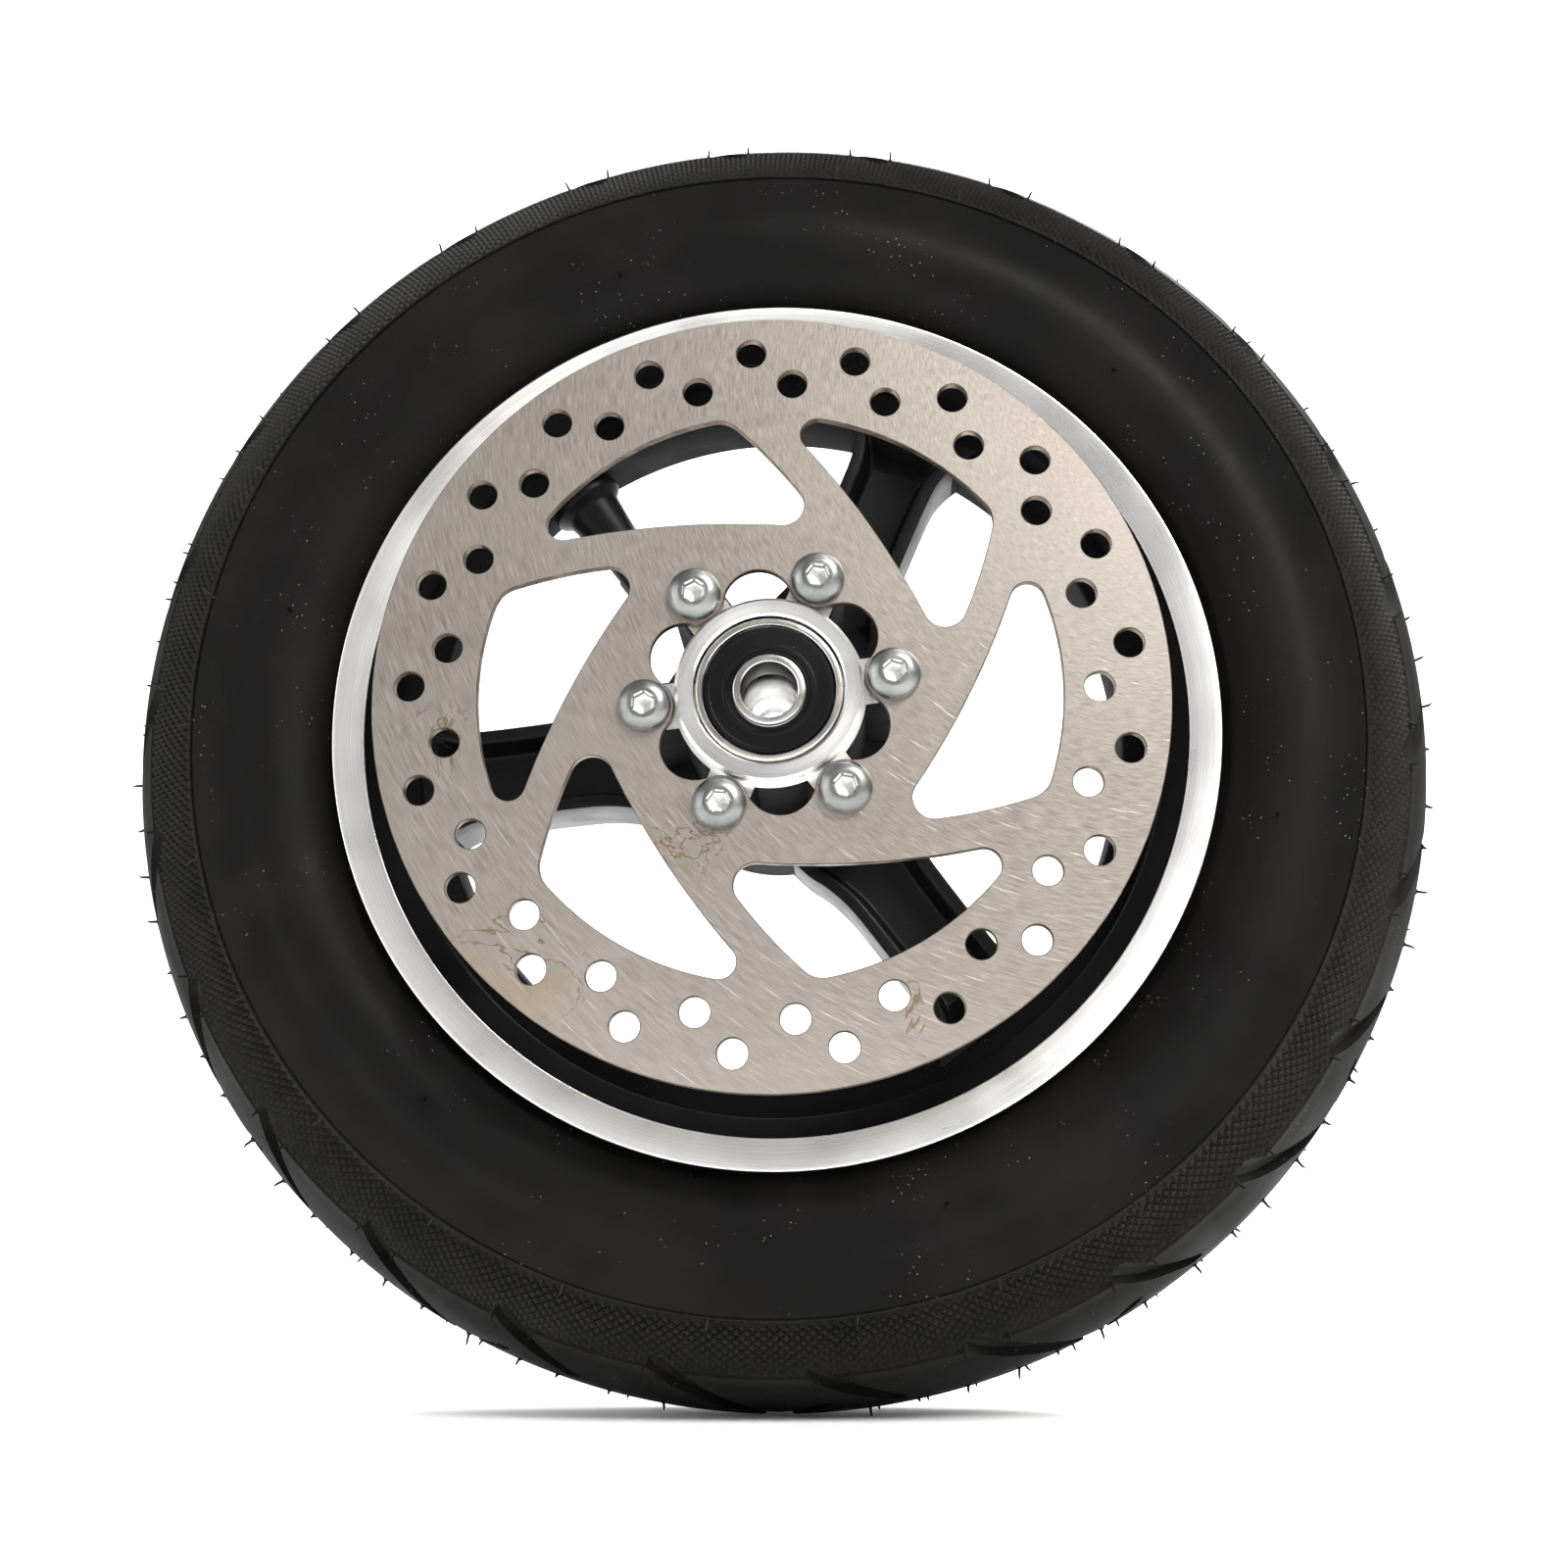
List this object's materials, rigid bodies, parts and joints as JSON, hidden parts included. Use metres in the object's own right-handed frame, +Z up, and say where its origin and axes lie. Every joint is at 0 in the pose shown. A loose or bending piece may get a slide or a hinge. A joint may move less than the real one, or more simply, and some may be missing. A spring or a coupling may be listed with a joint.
{
  "type": "scooter wheel",
  "caption": "Small undriven wheel: air tyre on a cast three-spoke rim, drilled brake disc screwed to the hub, sealed ball bearings for a stub axle, and a rubber tyre valve.",
  "frame": {"origin": "wheel centre: on the axle's line, in the tyre's middle plane", "axes": "+Y along the axle, pointing away from the brake disc; +Z up and +X to the right as seen from the disc side"},
  "size_m": [0.2488, 0.0774, 0.2488],
  "materials": {
    "tyre": "matt black rubber with a knurled shoulder",
    "black_casting": "satin black paint on a casting, machined bright at the flange ring and hub",
    "brushed_steel": "brushed stainless steel with fine scratches and light stains",
    "zinc_plate": "bright zinc plate",
    "bearing_steel": "ground bearing steel",
    "seal_rubber": "matt black rubber",
    "cage_steel": "pressed steel",
    "aluminium": "turned aluminium",
    "valve_rubber": "satin black rubber",
    "brass": "turned brass",
    "black_plastic": "matt black plastic"
  },
  "bodies": {
    "axle_sleeve": {"front_bearing_inner_ring": "bearing_steel", "rear_bearing_inner_ring": "bearing_steel", "spacer_tube": "aluminium"},
    "wheel": {"tyre": "tyre", "rim": "black_casting", "brake_rotor": "brushed_steel", "rotor_bolt_1": "zinc_plate", "rotor_bolt_2": "zinc_plate", "rotor_bolt_3": "zinc_plate", "rotor_bolt_4": "zinc_plate", "rotor_bolt_5": "zinc_plate", "rotor_bolt_6": "zinc_plate", "front_bearing_outer_ring": "bearing_steel", "front_bearing_outer_seal": "seal_rubber", "front_bearing_inner_seal": "seal_rubber", "rear_bearing_outer_ring": "bearing_steel", "rear_bearing_outer_seal": "seal_rubber", "rear_bearing_inner_seal": "seal_rubber", "valve_stem": "valve_rubber", "valve_tube": "brass", "valve_core": "brass"},
    "front_ball_set": {"front_bearing_cage": "cage_steel", "front_bearing_ball_1": "bearing_steel", "front_bearing_ball_2": "bearing_steel", "front_bearing_ball_3": "bearing_steel", "front_bearing_ball_4": "bearing_steel", "front_bearing_ball_5": "bearing_steel", "front_bearing_ball_6": "bearing_steel", "front_bearing_ball_7": "bearing_steel"},
    "rear_ball_set": {"rear_bearing_cage": "cage_steel", "rear_bearing_ball_1": "bearing_steel", "rear_bearing_ball_2": "bearing_steel", "rear_bearing_ball_3": "bearing_steel", "rear_bearing_ball_4": "bearing_steel", "rear_bearing_ball_5": "bearing_steel", "rear_bearing_ball_6": "bearing_steel", "rear_bearing_ball_7": "bearing_steel"},
    "valve_pin": {"valve_core_pin": "brass"},
    "dust_cap": {"valve_cap": "black_plastic"}
  },
  "joints": [
    {"name": "wheel_spin", "type": "hinge", "parent": "axle_sleeve", "child": "wheel", "pos_m": [0, 0, 0], "axis": [0, 1, 0], "continuous": true},
    {"name": "front_balls_roll", "type": "hinge", "parent": "axle_sleeve", "child": "front_ball_set", "pos_m": [0, -0.04095, 0], "axis": [0, 1, 0], "continuous": true},
    {"name": "rear_balls_roll", "type": "hinge", "parent": "axle_sleeve", "child": "rear_ball_set", "pos_m": [0, 0.026, 0], "axis": [0, 1, 0], "continuous": true},
    {"name": "valve_pin_press", "type": "slide", "parent": "wheel", "child": "valve_pin", "axis": [-0.6018, 0, 0.7986], "range_m": [0, 0.0012], "stiffness_N_per_m": 400, "springref_m": -0.002},
    {"name": "dust_cap_pull", "type": "slide", "parent": "wheel", "child": "dust_cap", "axis": [0.6018, 0, -0.7986], "range_m": [0, 0.0092]}
  ],
  "couplings": [
    {"joint": "front_balls_roll", "follows": "wheel_spin", "ratio": 0.6322},
    {"joint": "rear_balls_roll", "follows": "wheel_spin", "ratio": 0.6322}
  ]
}
